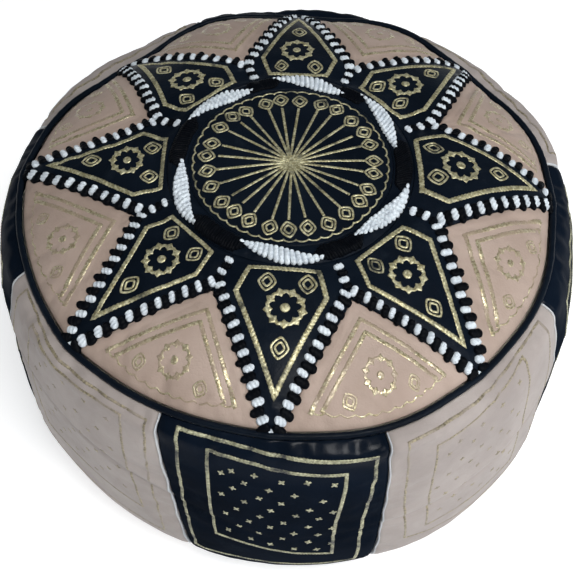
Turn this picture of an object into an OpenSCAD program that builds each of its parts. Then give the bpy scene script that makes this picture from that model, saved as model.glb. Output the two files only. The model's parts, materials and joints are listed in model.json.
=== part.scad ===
// Moroccan leather pouf: a stuffed drum-shaped floor seat with a pieced and embroidered leather cover.
// Millimetres, +Z up. The origin is the centre of the ring on which the pouf stands.
// The front star petal points along -Y, and the other pieces follow it round through +X.

/* [Body] */
// Height from the floor to the middle of the seat
height = 330; // [300:1:360]
// How far the middle of the seat stands above the rim
dome_rise = 52; // [40:1:70]
// Radius of the rim, at the seam between the top and the sides
rim_r = 245; // [235:1:255]
// Largest radius of the sides
body_r = 276; // [268:1:290]
// Height of the widest place above the floor
waist_z = 139; // [130:1:150]
// Radius of the seam between the sides and the base
base_r = 209; // [200:1:215]

/* [Leather] */
// Thickness of the leather cover
leather_t = 2; // [1.5:0.1:2.5]
// Gap left between two panels at a seam
seam_gap = 0.4; // [0.2:0.1:0.8]
// Radius of the piping
piping_r = 4.5; // [3.5:0.1:5]
// Radius of the cord inside the piping
piping_core_r = 2.6; // [2:0.1:2.8]

/* [Star] */
// Number of star petals, of rim triangles and of side panels
petals = 8; // [8]
// Radius of the round medallion in the middle
medallion_r = 92; // [88:1:94]
// Outer radius of the embroidered ring around the medallion
ring_r = 110.8; // [108:0.1:113]
// Radius at which a rim triangle begins
apex_r = 149; // [138:1:152]
// Half of a petal's width where it meets the rim
petal_tip_half = 8; // [3:0.5:9]

/* [Embroidery] */
// Length of an edge stitch, across the seam
stitch_len = 10; // [8:0.5:11]
// Width of an edge stitch, along the seam
stitch_w = 5.4; // [4:0.1:5.6]
// How far a stitch stands proud of the leather
stitch_h = 2.2; // [1.5:0.1:3]
// How far the gold lines stand proud of the leather
gold_h = 0.5; // [0.3:0.1:0.8]
// Number of gold spokes on the medallion
spokes = 27; // [20:1:30]

/* [Zip] */
// Length of the zip's chain
zip_len = 292; // [285:1:300]
// Distance from one zip tooth to the next
tooth_pitch = 2.6; // [2.5:0.1:3.2]
// Height of the base leather above the floor
base_lift = 12; // [11:0.5:14]

/* [Hidden] */

$fn = 64;
eps = 0.01;
black_leather = [0.05, 0.06, 0.09];
tan_leather = [0.72, 0.61, 0.57];
white_thread = [0.90, 0.92, 0.94];
black_thread = [0.03, 0.03, 0.05];
gold = [0.72, 0.65, 0.42];
cotton = [0.86, 0.82, 0.74];
pale_edge = [0.80, 0.77, 0.73];
metal = [0.75, 0.68, 0.45];
step_angle = 360 / petals;
half_angle = step_angle / 2;
rim_z = height - dome_rise;
// The seat is a cap of this sphere, with its centre at dome_c
dome_r = (rim_r * rim_r + dome_rise * dome_rise) / (2 * dome_rise);
dome_c = height - dome_r;
layer_gap = 0.3;
lining_t = 1;
lining_out = leather_t + layer_gap;
filling_out = lining_out + lining_t + layer_gap;

// ---- Directions ----
// Turns the children from the front (-Y) to petal or panel number k
module facing(k) rotate([0, 0, k * step_angle]) children();
function is_black(k) = k % 2 == 0;
function polar(r, a) = [r * sin(a), -r * cos(a)];

// ---- The side's outline: two quarters of a superellipse, square above and rounder below ----
top_r0 = 215;
top_power = 4;
low_r0 = 195;
low_power = 3;
side_top_r = rim_r + 6.4;
side_low_r = base_r + 4.6;
side_foot_z = 6;
top_t = acos(pow((rim_r - top_r0) / (body_r - top_r0), top_power / 2));
top_b = (rim_z - 2 - waist_z) / pow(sin(top_t), 2 / top_power);
low_b = waist_z - side_foot_z;
t_start = acos(pow((side_top_r - top_r0) / (body_r - top_r0), top_power / 2));
t_end = acos(pow((side_low_r - low_r0) / (body_r - low_r0), low_power / 2));
// A point of the outline: t runs from t_start above the waist (positive) to t_end below it (negative)
function side_pt(t) = t >= 0
  ? [top_r0 + (body_r - top_r0) * pow(cos(t), 2 / top_power), waist_z + top_b * pow(sin(t), 2 / top_power)]
  : [low_r0 + (body_r - low_r0) * pow(cos(t), 2 / low_power), waist_z - low_b * pow(sin(-t), 2 / low_power)];
// s is 0 at the rim and 1 at the base seam, spread evenly in t
function side_t(s) = t_start - s * (t_start + t_end);
function side_dir(s) = side_pt(side_t(s + 0.002)) - side_pt(side_t(s - 0.002));
// The outline moved outwards by d, at s
function side_off(s, d) = let (v = side_dir(s), n = [-v[1], v[0]] / norm(v)) side_pt(side_t(s)) + d * n;
// The sides bend at these corners only, and so does everything that lies on them
side_steps = 24;
function side_corner(i, d) = side_off(i / side_steps, d);
function side_at(s, d) =
  let (i = min(floor(s * side_steps), side_steps - 1), t = s * side_steps - i)
    (1 - t) * side_corner(i, d) + t * side_corner(i + 1, d);
function side_line(s0, s1, d) = concat(
  [side_at(s0, d)],
  [for (i = [floor(s0 * side_steps) + 1:1:ceil(s1 * side_steps) - 1]) side_corner(i, d)],
  [side_at(s1, d)]);
function backwards(pts) = [for (i = [len(pts) - 1:-1:0]) pts[i]];

// A patch of the side between two angles, two places s along the outline and two offsets
module side_patch(a0, a1, s0, s1, d0, d1)
  rotate([0, 0, a0 - 90])
    rotate_extrude(angle = a1 - a0, $fn = 96)
      polygon(concat(side_line(s0, s1, d1), backwards(side_line(s0, s1, d0))));

// ---- The dome ----
cut_reach = 20;
// A layer of the seat between two heights above the leather's outer surface, cut to the children's outline
module dome_layer(d0, d1)
  intersection() {
    difference() {
      translate([0, 0, dome_c]) sphere(r = dome_r + d1, $fn = 200);
      translate([0, 0, dome_c]) sphere(r = dome_r + d0, $fn = 200);
    }
    translate([0, 0, rim_z - cut_reach]) linear_extrude(height = dome_rise + 2 * cut_reach) children();
  }
// Puts the children on the dome at [x, y], with their own Z outwards and turned by spin
module on_dome(p, spin) {
  turn = atan2(p[1], p[0]);
  translate([0, 0, dome_c])
    rotate([0, 0, turn])
      rotate([0, asin(norm(p) / dome_r), 0])
        translate([0, 0, dome_r])
          rotate([0, 0, spin - turn])
            children();
}
// Closed frame between two outlines with the same number of points
module outline_frame(outer, inner)
  difference() {
    polygon(outer);
    polygon(inner);
  }

// ---- Outlines of the top's pieces, for the ones that face the front ----
rim_seam = 2.8;
top_edge_r = rim_r - rim_seam;
apex_p = polar(apex_r, half_angle);
petal_tip = [petal_tip_half, -rim_r];
// Where a rim triangle's side reaches the rim, as an angle from the triangle's middle
triangle_tip_angle = half_angle - atan2(petal_tip_half, rim_r);
function mirrored(pts) = [for (p = backwards(pts)) [-p[0], p[1]]];
module petal_outline() {
  right = [polar(ring_r, half_angle), apex_p, petal_tip];
  difference() {
    intersection() {
      polygon(concat(right, mirrored(right)));
      circle(r = top_edge_r, $fn = 128);
    }
    circle(r = ring_r + seam_gap, $fn = 128);
    for (side = [-1, 1]) rotate([0, 0, side * half_angle])
      translate([-seam_gap / 2, -apex_r - 1]) square([seam_gap, apex_r]);
  }
}
// The rim triangle lies between two petals, a seam gap away from each
module triangle_outline() {
  right = [[0, -apex_r], polar(rim_r, triangle_tip_angle), polar(1.2 * rim_r, triangle_tip_angle)];
  intersection() {
    translate([0, -2 * seam_gap]) polygon(concat(right, mirrored(right)));
    circle(r = top_edge_r, $fn = 128);
  }
}

module medallion() color(black_leather) dome_layer(-leather_t, 0) circle(r = medallion_r, $fn = 128);
module embroidery_ring()
  color(black_leather)
    dome_layer(-leather_t, 0)
      difference() {
        circle(r = ring_r, $fn = 128);
        circle(r = medallion_r + seam_gap, $fn = 128);
      }
module star_petal(k) color(black_leather) facing(k) dome_layer(-leather_t, 0) petal_outline();
module rim_triangle(k)
  color(tan_leather) facing(k + 0.5) dome_layer(-leather_t, 0) triangle_outline();

// ---- Sides, piping and base ----
panel_half = half_angle - asin(seam_gap / 2 / base_r);
seam_half = 0.15;
seam_rise = 0.8;
module side_panel(k)
  color(is_black(k) ? black_leather : tan_leather)
    facing(k) side_patch(-panel_half, panel_half, 0, 1, -leather_t, 0);
// The pale cut edge of the leather that shows along each upright seam
module side_seam_edges()
  color(pale_edge)
    for (k = [0:petals - 1])
      facing(k + 0.5) side_patch(-seam_half, seam_half, 0.02, 0.98, 0, seam_rise);

rim_pipe = [rim_r + 2, rim_z - 1.5];
base_pipe = [base_r, piping_r - 0.5];
module ring_tube(c, r_out, r_in)
  rotate_extrude($fn = 128)
    difference() {
      translate(c) circle(r = r_out, $fn = 32);
      if (r_in > 0) translate(c) circle(r = r_in, $fn = 32);
    }
cord_gap = 0.1;
module rim_piping() color(black_leather) ring_tube(rim_pipe, piping_r, piping_core_r + cord_gap);
module rim_piping_cord() color(cotton) ring_tube(rim_pipe, piping_core_r, 0);
// The pouf's weight flattens the base piping where it stands
module base_piping()
  color(black_leather)
    difference() {
      ring_tube(base_pipe, piping_r, piping_core_r + cord_gap);
      translate([0, 0, -base_lift]) cylinder(r = body_r, h = base_lift, $fn = 96);
    }
module base_piping_cord() color(cotton) ring_tube(base_pipe, piping_core_r, 0);

base_flat_r = 165;
base_edge_r = base_r - 4.6;
base_edge_z = 7;
slot_half_w = 6.5;
slot_half_l = zip_len / 2 + 4;
cut_h = 30;
module base_half(side) {
  rotate([0, 0, side > 0 ? 0 : 180])
    difference() {
      rotate_extrude(angle = 180, $fn = 128)
        polygon([[0, base_lift], [base_flat_r, base_lift], [base_edge_r, base_edge_z],
                 [base_edge_r, base_edge_z + leather_t], [base_flat_r, base_lift + leather_t],
                 [0, base_lift + leather_t]]);
      translate([-slot_half_l, -1, 0]) cube([2 * slot_half_l, slot_half_w + 1, cut_h]);
      translate([-body_r, -1, 0]) cube([2 * body_r, 1 + seam_gap / 2, cut_h]);
    }
}
module base_panel_front() color(black_leather) base_half(-1);
module base_panel_back() color(black_leather) base_half(1);
patch_l = 15;
patch_w = 22;
patch_t = 1;
module zip_end_patches()
  color(tan_leather)
    for (side = [-1, 1])
      translate([side * (slot_half_l + patch_l / 2 - 1), 0, base_lift - patch_t])
        linear_extrude(height = patch_t)
          square([patch_l, patch_w], center = true);

// ---- Inside ----
tape_room = 1.3;
lining_floor = base_lift + leather_t + tape_room;
filling_floor = lining_floor + lining_t + layer_gap;
zip_channel_w = 16;
zip_channel_half_l = slot_half_l + 3;
zip_channel_top = lining_floor + 6;
floor_inset = 6;
dome_steps = 10;
inner_rim_r = rim_r - 11;
// Closed outline of what lies inside the cover, d below its outer surface, down to the height floor_z
function inside_outline(d, floor_z) = concat(
  [[0, floor_z], [base_flat_r - floor_inset, floor_z], [base_r - floor_inset, floor_z - leather_t]],
  [for (i = [side_steps - 2:-1:3]) side_corner(i, -d)],
  [[inner_rim_r, dome_c + sqrt(pow(dome_r - d, 2) - pow(inner_rim_r, 2)) - 1]],
  [for (i = [dome_steps - 1:-1:0])
    let (r = inner_rim_r * i / dome_steps) [r, dome_c + sqrt(pow(dome_r - d, 2) - r * r)]]);
module zip_channel()
  translate([-zip_channel_half_l, -zip_channel_w / 2, 0])
    cube([2 * zip_channel_half_l, zip_channel_w, zip_channel_top]);
module filling()
  color(cotton)
    difference() {
      rotate_extrude($fn = 96) polygon(inside_outline(filling_out, filling_floor));
      zip_channel();
    }
module inner_lining()
  color(cotton)
    difference() {
      rotate_extrude($fn = 96) polygon(inside_outline(lining_out, lining_floor));
      rotate_extrude($fn = 96) polygon(inside_outline(lining_out + lining_t, lining_floor + lining_t));
      zip_channel();
    }

// ---- Zip ----
tape_w = 14;
tape_t = 0.8;
tape_gap = 0.1;
tape_end = 6;
tape_z = base_lift + leather_t + tape_gap;
tooth_in = 0.6;
tooth_out = 3.6;
tooth_l = 1.6;
tooth_h = 3.2;
chain_mid = tape_z + tape_t / 2;
module zip_tape(side)
  color(black_thread)
    translate([-slot_half_l - tape_end, side > 0 ? tooth_out : -tooth_out - tape_w, tape_z])
      cube([2 * (slot_half_l + tape_end), tape_w, tape_t]);
// Each tooth has a broad foot on the tape and a narrower head towards the other row
module tooth(side)
  translate([0, 0, chain_mid - tooth_h / 2])
    linear_extrude(height = tooth_h)
      polygon([[-tooth_l / 2, side * tooth_out], [-tooth_l / 2, side * (tooth_in + 1)],
               [-tooth_l / 4, side * tooth_in], [tooth_l / 4, side * tooth_in],
               [tooth_l / 2, side * (tooth_in + 1)], [tooth_l / 2, side * tooth_out]]);
teeth_count = floor(zip_len / tooth_pitch);
module zip_teeth(side)
  color(metal)
    for (i = [0:teeth_count - 1])
      translate([-zip_len / 2 + (i + (side > 0 ? 0.25 : 0.75)) * tooth_pitch, 0, 0]) tooth(side);
stop_l = 2;
module zip_stops()
  color(metal)
    for (side = [-1, 1])
      translate([side * (zip_len / 2 + 1 + stop_l / 2), 0, chain_mid])
        cube([stop_l, 2 * tooth_out - eps, tooth_h], center = true);

slider_l = 12;
slider_half_w = 5.2;
flange_t = 0.9;
plate_t = 1.4;
plate_gap = 0.25;
plate_low = chain_mid - tooth_h / 2 - plate_gap - plate_t;
plate_high = chain_mid + tooth_h / 2 + plate_gap;
neck_half = 0.35;
slider_x = zip_len / 2 - slider_l / 2;
pull_drop = 2;
pull_axis_z = plate_low - pull_drop;
pull_pin_r = 0.95;
pull_hole_r = 1.0;
lug_r = 1.9;
lug_half_w = 0.8;
// Broad where the open rows enter and narrower where they leave joined
module slider_plate(z) {
  edge = [[-slider_l / 2, 0.6 * slider_half_w], [-slider_l / 5, slider_half_w],
          [slider_l / 3, slider_half_w], [slider_l / 2, 0.75 * slider_half_w]];
  translate([0, 0, z]) linear_extrude(height = plate_t)
    polygon(concat(edge, [for (i = [3:-1:0]) [edge[i][0], -edge[i][1]]]));
}
flange_l = 5;
flange_gap = 0.3;
lug_stem = plate_low - pull_axis_z + eps;
module zip_slider()
  color(metal)
    translate([slider_x, 0, 0]) {
      slider_plate(plate_low);
      slider_plate(plate_high);
      // the neck between the plates, in the slot between the two rows of teeth
      translate([-slider_l / 4, -neck_half, plate_low + plate_t - eps])
        cube([slider_l / 2, 2 * neck_half, plate_high - plate_low - plate_t + 2 * eps]);
      // flanges that keep the teeth between the plates
      for (y = [slider_half_w - flange_t, -slider_half_w]) {
        translate([-flange_l / 2, y, plate_low + plate_t - eps])
          cube([flange_l, flange_t, tape_z - plate_low - plate_t - flange_gap]);
        translate([-flange_l / 2, y, tape_z + tape_t + flange_gap])
          cube([flange_l, flange_t, plate_high - tape_z - tape_t - flange_gap + eps]);
      }
      // the lug that holds the pull tab
      difference() {
        union() {
          across(pull_axis_z, lug_r, lug_half_w);
          translate([-lug_r, -lug_half_w, pull_axis_z]) cube([2 * lug_r, 2 * lug_half_w, lug_stem]);
        }
        across(pull_axis_z, pull_hole_r, lug_half_w + 1);
      }
    }
// A cylinder along Y at the height z
module across(z, r, half_w)
  translate([0, half_w, z]) rotate([90, 0, 0]) cylinder(r = r, h = 2 * half_w, $fn = 48);

tab_l = 27;
tab_half_w = 3.2;
tab_t = 1.6;
tab_boss_r = 1.1;
tab_window_l = 8;
tab_window_half_w = lug_half_w + 0.2;
tab_hole_r = 1.5;
// The tab hangs from the slider until its end nearly meets the floor
tab_droop = 17;
module zip_pull_tab()
  color(metal)
    translate([slider_x, 0, pull_axis_z]) rotate([0, -tab_droop, 0]) {
      difference() {
        union() {
          across(0, tab_boss_r, tab_half_w);
          translate([0, 0, -tab_t / 2]) linear_extrude(height = tab_t) {
            translate([-tab_l + tab_half_w, -tab_half_w]) square([tab_l - tab_half_w, 2 * tab_half_w]);
            translate([-tab_l + tab_half_w, 0]) circle(r = tab_half_w, $fn = 48);
          }
        }
        translate([-tab_window_l / 2, -tab_window_half_w, -2 * tab_t])
          cube([tab_window_l, 2 * tab_window_half_w, 4 * tab_t]);
        translate([-tab_l + tab_half_w, 0, -tab_t]) cylinder(r = tab_hole_r, h = 2 * tab_t, $fn = 32);
      }
      across(0, pull_pin_r, tab_half_w - 0.5);
    }

// ---- Stitches ----
// One padded stitch, lying along its own X
module stitch(l, w)
  linear_extrude(height = stitch_h) {
    square([l - w, w], center = true);
    for (side = [-1, 1]) translate([side * (l - w) / 2, 0]) circle(r = w / 2, $fn = 24);
  }
edge_pairs = 10;
edge_first = [49.4, -136.6];
edge_last = [6, -239];
// Places the children at edge stitch number i, on the petal's right (side 1) or left (-1) edge
module along_edge(i, side) {
  f = i / (2 * edge_pairs - 1);
  p = edge_first + (edge_last - edge_first) * f;
  d = edge_last - edge_first;
  on_dome([side * p[0], p[1]], side * (atan2(d[1], d[0]) + 90)) children();
}
module edge_stitches(parity)
  for (k = [0:petals - 1])
    facing(k)
      for (side = [-1, 1])
        for (i = [parity:2:2 * edge_pairs - 1])
          along_edge(i, side) stitch(stitch_len * (i > 2 * edge_pairs - 3 ? 0.7 : 1), stitch_w);
module white_edge_stitches() color(white_thread) edge_stitches(0);
module black_edge_stitches() color(black_thread) edge_stitches(1);
neck_first_r = 118.5;
neck_pitch = 6.2;
neck_count = 4;
module neck_stitches(parity)
  for (k = [0:petals - 1])
    for (i = [parity:2:neck_count - 1])
      on_dome(polar(neck_first_r + i * neck_pitch, (k + 0.5) * step_angle), (k + 0.5) * step_angle)
        stitch(stitch_len * 0.8, stitch_w * 0.95);
module white_neck_stitches() color(white_thread) neck_stitches(0);
module black_neck_stitches() color(black_thread) neck_stitches(1);

// The ring holds six white crescents, worked by hand, with black bands between them
crescent_at = [-2, 57.5, 124, 173.5, 226, 293];
crescent_half = 20;
wraps = 15;
wrap_w = 4.2;
black_wrap_w = 2.3;
ring_mid_r = 101.5;
// Length of wrap number i of a crescent, thick in the middle and thin at both ends
function wrap_len(i) = 3 + 12 * pow(sin(180 * (i + 0.5) / wraps), 0.8);
module white_crescents()
  color(white_thread)
    for (c = crescent_at)
      for (i = [0:wraps - 1])
        let (a = c - crescent_half + 2 * crescent_half * (i + 0.5) / wraps)
          on_dome(polar(ring_mid_r, a), a + 90) stitch(wrap_len(i), wrap_w);
// Black wraps fill each stretch of the ring that lies between two crescents
module black_ring_stitches()
  color(black_thread)
    for (i = [0:len(crescent_at) - 1]) {
      a0 = crescent_at[i] + crescent_half + 1.5;
      next = i + 1 < len(crescent_at) ? crescent_at[i + 1] : crescent_at[0] + 360;
      a1 = next - crescent_half - 1.5;
      n = floor((a1 - a0) / 1.6);
      for (j = [0:n - 1])
        let (a = a0 + (a1 - a0) * (j + 0.5) / n)
          on_dome(polar(ring_mid_r, a), a + 90) stitch(13, black_wrap_w);
    }

// ---- Gold lines ----
spoke_w = 1.8;
spoke_end_r = 66;
spoke_diamond_r = 75.5;
border_r = 89.5;
fine_line_w = 1.5;
diamond_line_w = 1.7;
hub_r = 9;
// A square outline standing on its corner, half across
module diamond(half)
  rotate([0, 0, 45])
    difference() {
      square(half * sqrt(2), center = true);
      square(half * sqrt(2) - 2 * diamond_line_w, center = true);
    }
module gold_medallion()
  color(gold)
    dome_layer(0, gold_h) {
      circle(r = hub_r, $fn = 48);
      for (i = [0:spokes - 1]) rotate([0, 0, i * 360 / spokes]) {
        translate([-spoke_w / 2, -spoke_end_r]) square([spoke_w, spoke_end_r - hub_r / 2]);
        translate([0, -spoke_diamond_r]) diamond(7.4);
      }
      difference() {
        circle(r = border_r, $fn = 128);
        circle(r = border_r - fine_line_w, $fn = 128);
      }
    }
petal_line = [[29.5, -114], [38.5, -140], [0, -226.5], [-38.5, -140], [-29.5, -114]];
petal_line_in = [[26.7, -118], [34.2, -139.8], [0, -216.7], [-34.2, -139.8], [-26.7, -118]];
triangle_line = [[0, -165.5], [61.5, -224.5], [0, -238.5], [-61.5, -224.5]];
triangle_line_in = [[0, -170.8], [56, -224.2], [0, -237], [-56, -224.2]];
triangle_chevron = [[0, -177], [52, -226], [46.6, -226], [0, -182.4], [-46.6, -226], [-52, -226]];
// A ring round a dot
module rosette(r) {
  difference() {
    circle(r = r * 0.78, $fn = 48);
    circle(r = r * 0.6, $fn = 48);
  }
  circle(r = r * 0.23, $fn = 24);
}
module gold_petals()
  color(gold)
    for (k = [0:petals - 1])
      facing(k)
        dome_layer(0, gold_h) {
          outline_frame(petal_line, petal_line_in);
          translate([0, -152]) rosette(17);
          translate([0, -186]) diamond(8.5);
          for (side = [-1, 1]) translate([16.5 * side, -129]) diamond(7);
        }
module gold_triangles()
  color(gold)
    for (k = [0:petals - 1])
      facing(k + 0.5)
        dome_layer(0, gold_h) {
          outline_frame(triangle_line, triangle_line_in);
          polygon(triangle_chevron);
          translate([0, -213]) rosette(15);
          for (side = [-1, 1]) translate([29 * side, -222.5]) diamond(5.6);
        }
// One gold frame on a side panel, half wide as an angle and between two places along the side's outline
frame_bar_a = 0.8;
frame_top_s = 0.024;
frame_low_s = 0.01;
module side_frame(half, s0, s1) {
  side_patch(-half, half, s0, s0 + frame_top_s, 0, gold_h);
  side_patch(-half, half, s1 - frame_low_s, s1, 0, gold_h);
  for (a = [-half, half - frame_bar_a])
    side_patch(a, a + frame_bar_a, s0, s1, 0, gold_h);
}
module gold_side_frames()
  color(gold)
    for (k = [0:petals - 1])
      facing(k) {
        side_frame(19.2, 0.085, 0.71);
        side_frame(13.2, 0.16, 0.51);
      }

// ---- The whole ----
filling();
inner_lining();
medallion();
embroidery_ring();
for (k = [0:petals - 1]) {
  star_petal(k);
  rim_triangle(k);
  side_panel(k);
}
rim_piping();
rim_piping_cord();
base_piping();
base_piping_cord();
side_seam_edges();
base_panel_front();
base_panel_back();
zip_end_patches();
zip_tape(-1);  // zip_tape_front
zip_tape(1);  // zip_tape_back
zip_teeth(-1);  // zip_teeth_front
zip_teeth(1);  // zip_teeth_back
zip_stops();
zip_slider();
zip_pull_tab();
white_edge_stitches();
black_edge_stitches();
white_neck_stitches();
black_neck_stitches();
white_crescents();
black_ring_stitches();
gold_medallion();
gold_petals();
gold_triangles();
gold_side_frames();
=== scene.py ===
"""Moroccan leather pouf: the looks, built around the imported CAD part.

Lengths inside the script are in millimetres, in the CAD's frame, and become metres when a mesh is made.
A place on the seat is a plan place (x, y), and a place on the sides is (across, down): millimetres along
the widest circle from the front, and millimetres down the outline from the rim. Both are lifted by a
height above the leather. The hand-made unevenness and the stuffing's swell are added in one place, by
seat() and side(), so that leather, stitches, gold and piping always lie on each other.
"""
import json
import math

import bmesh
import bpy
import numpy as np
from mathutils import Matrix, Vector

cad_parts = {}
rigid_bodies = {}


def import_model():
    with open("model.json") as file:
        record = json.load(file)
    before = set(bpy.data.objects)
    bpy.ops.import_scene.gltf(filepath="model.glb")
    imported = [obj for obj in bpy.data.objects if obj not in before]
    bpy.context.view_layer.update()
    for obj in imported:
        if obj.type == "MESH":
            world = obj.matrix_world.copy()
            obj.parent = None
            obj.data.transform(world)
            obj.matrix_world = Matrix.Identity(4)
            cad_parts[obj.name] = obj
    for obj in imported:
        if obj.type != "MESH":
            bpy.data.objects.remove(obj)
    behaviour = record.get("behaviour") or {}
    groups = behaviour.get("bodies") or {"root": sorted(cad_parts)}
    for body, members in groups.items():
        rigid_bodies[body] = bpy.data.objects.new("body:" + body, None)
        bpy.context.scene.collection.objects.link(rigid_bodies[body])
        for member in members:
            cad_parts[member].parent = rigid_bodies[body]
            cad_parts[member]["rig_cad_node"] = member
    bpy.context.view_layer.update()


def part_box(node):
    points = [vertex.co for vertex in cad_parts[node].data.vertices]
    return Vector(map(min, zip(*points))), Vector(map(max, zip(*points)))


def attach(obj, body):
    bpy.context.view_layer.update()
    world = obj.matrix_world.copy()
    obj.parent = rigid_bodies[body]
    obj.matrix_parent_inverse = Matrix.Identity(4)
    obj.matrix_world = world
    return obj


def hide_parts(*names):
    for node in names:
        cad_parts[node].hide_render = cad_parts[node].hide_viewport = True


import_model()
MM = 0.001
RANDOM = np.random.default_rng(7)


def stray(reach, size=None):
    """The error of a working hand, up to reach either way."""
    return RANDOM.uniform(-reach, reach, size)


def box_mm(node):
    """Lowest and highest corner of a CAD node, in millimetres."""
    low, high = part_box(node)
    return np.array(low) / MM, np.array(high) / MM


# ---- Driving sizes, from the CAD ----
LEATHER_T = 2.0
LEATHER_BACK = -LEATHER_T - 0.3
PETALS = 8
STEP = 360 / PETALS
# How far the rim piping's middle lies outside the seat's edge, and how far below it
PIPE_OUT, PIPE_DOWN = 2.0, 1.5
# How much of the rim piping's radius the leathers on both sides of it bury
PIPING_SUNK = 1.6
pipe_low, pipe_high = box_mm("rim_piping")
PIPING_R = (pipe_high[2] - pipe_low[2]) / 2
RIM_R = pipe_high[0] - PIPING_R - PIPE_OUT
RIM_Z = (pipe_high[2] + pipe_low[2]) / 2 + PIPE_DOWN
HEIGHT = box_mm("medallion")[1][2]
MEDALLION_R = box_mm("medallion")[1][0]
RING_R = box_mm("embroidery_ring")[1][0]
BODY_R = -box_mm("side_panel_1")[0][1]
foot_high = box_mm("base_piping")[1]
BASE_R = foot_high[0] - PIPING_R
BASE_PIPE_Z = foot_high[2] - PIPING_R
BASE_LIFT = box_mm("base_panel_front")[1][2] - LEATHER_T
BASE_EDGE_R = BASE_R - 3.2
# Where two petals part, and half a petal's width at the rim
APEX_R = 149.0
TIP_HALF = 8.0
DOME_RISE = HEIGHT - RIM_Z
TOP_SINK = 3.2
WAIST_Z = 139.0
SIDE_TOP_R = RIM_R + 4.2
SIDE_TOP_Z = RIM_Z - 2.0
SIDE_LOW_R = BASE_R + 4.6
SIDE_LOW_Z = 6.0


# ---- Hand-made unevenness, given for sixteen directions from the front round through +X ----
# How far the rim lies out from its circle, how far it hangs down, and how far both reach down the sides
RIM_OUT = [1.5, 7, 1.5, -1, -4, 1, -3.5, 4, -1, 3, -6.5, 2, 5, 1, 3, 0.5]
RIM_DROP = [0, -1, 0, 1, 2, 4, 7, 0, 6, 1, 9, 4, 1, 1, 0, 1]
RIM_REACH = 38
# How far the sides stand out of their outline at their fullest
BULGE = [-4.5, 1.5, 3, 0.5, -11, -1, 8, 2, 3, 2, 7, -2, -4, 0.5, -5.5, -6.5]
# How thick they puff out just under the rim
ROLL = [4.2, 4.2, 4.2, 3.5, 1.5, 3.2, 6, 0.5, 7, 2, 5.5, 3, 1.5, 3, 4.2, 4.2]
# How far the pattern is turned, in degrees: around the ring, at the rim, on the sides and lower on the sides
TWIST_RING = [0.8, 1.9, 0, 1.5, 6, 5.5, 2.5, 1.5, 1.2, -1, -0.5, 0, 2, 2, 2, 0.2]
TWIST_RIM = [0.4, 1, -1, 1.5, 3.3, 2.5, 3, 2, 2, 2.5, 3.2, 0.5, -3, -2, -0.2, -0.2]
TWIST_SIDE = [0.3, -0.6, -2, -0.5, -3, -7, -3, 0, 2, 3, 4.5, 5, -0.5, 0.6, -0.4, 1.1]
TWIST_LOW = [1, -0.8, -1.5, -1.5, -3, -6, -2, 1, 0.5, 1, 3, 5, 2, 5, 3, 5.2]
# The radius on the seat from which the rim's turn mixes in, the width beyond the medallion over which the
# ring's turn sets in, and how far down the sides the last row has taken over
TWIST_FROM, TWIST_GROWS, TWIST_REACH = 130, 22, 200.0
# Where the old fold runs across the sides, in millimetres below the rim, and how deep it is
FOLD_DOWN = [150, 148, 122, 92, 104, 128, 142, 130, 136, 148, 132, 112, 92, 68, 84, 122]
FOLD_DEPTH = [0.25, 0.5, 1.0, 0.8, 0.3, 0.7, 0.5, 0.9, 0.4, 0.7, 0.5, 0.9, 0.6, 0.9, 1.1, 0.6]
# How far the petal tips pull the rim out
CUSP = 1.2
# How much lower the seat's leather lies between the ring and the rim, and the radius from which it does
DIP = [1, 3, 6, 4, 2, 5, 7, 7, 7, 7, 8, 8, 7, 6, 7, 3]
DIP_FROM = 106.0
# How far the star's pattern lies nearer the middle there
PULL = [0, 0, 0, 0, -3, -2, -3.5, 0, 0, 0, 3, 3, 7, 3, 6, 2]


def round_curve(values, deg):
    """Smooth closed curve through values given at equal steps round the circle."""
    values = np.asarray(values, float)
    place = np.mod(deg, 360) / 360 * len(values)
    first = np.floor(place).astype(int)
    t = place - first
    a, b, c, d = (values[(first + k) % len(values)] for k in (-1, 0, 1, 2))
    return b + t * ((c - a) / 2 + t * (a - 2.5 * b + 2 * c - d / 2 + t * (1.5 * (b - c) + (d - a) / 2)))


def bell(x, width):
    """1 where x is 0, falling smoothly to 0 beyond the width."""
    return np.exp(-((x / width) ** 2))


def from_middle(deg):
    """Degrees from the middle of the nearest petal."""
    return np.abs(np.mod(deg + STEP / 2, STEP) - STEP / 2)


def seam_away(deg):
    """Distance round the widest circle from the nearest upright seam."""
    return np.radians(np.abs(np.mod(deg, STEP) - STEP / 2)) * BODY_R


def cusp(deg):
    """1 at each petal tip, where the rim is pulled out to a point, falling to a little below 0 beside it."""
    away = from_middle(deg)
    return np.exp(-away / 2.6) - 0.55 * bell(away - 9, 4.5)


def plan(r, deg):
    """Plan place at a radius and an angle from the front, round through +X."""
    return r * np.sin(np.radians(deg)), -r * np.cos(np.radians(deg))


def around(r, deg, z):
    """3-D places at a radius, an angle from the front and a height."""
    return np.stack(np.broadcast_arrays(*plan(r, deg), z), -1)


class Ripple:
    """A smooth random field of a few waves, about -1 to 1. The waves close on themselves round the pouf."""

    def __init__(self, seed, waves, around_range, along_range):
        draw = np.random.default_rng(seed)
        self.around = np.round(draw.uniform(*around_range, waves))
        self.along = draw.uniform(*along_range, waves) * draw.choice([-1, 1], waves)
        self.phase = draw.uniform(0, 2 * math.pi, waves)

    def __call__(self, deg, u):
        total = 0
        for turns, along_u, phase in zip(self.around, self.along, self.phase):
            total = total + np.sin(np.radians(deg) * turns + u * along_u + phase)
        return total / math.sqrt(len(self.phase))


# ---- Outline of the sides ----
# Above and below the waist it is a superellipse: the radius of its middle, and its power
UPPER, LOWER = (215, 4), (195, 3)


def outline_angle(part, r):
    """Angle from the waist, in radians, at which a part of the outline has the radius r."""
    r0, power = part
    return math.acos(((r - r0) / (BODY_R - r0)) ** (power / 2))


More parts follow.
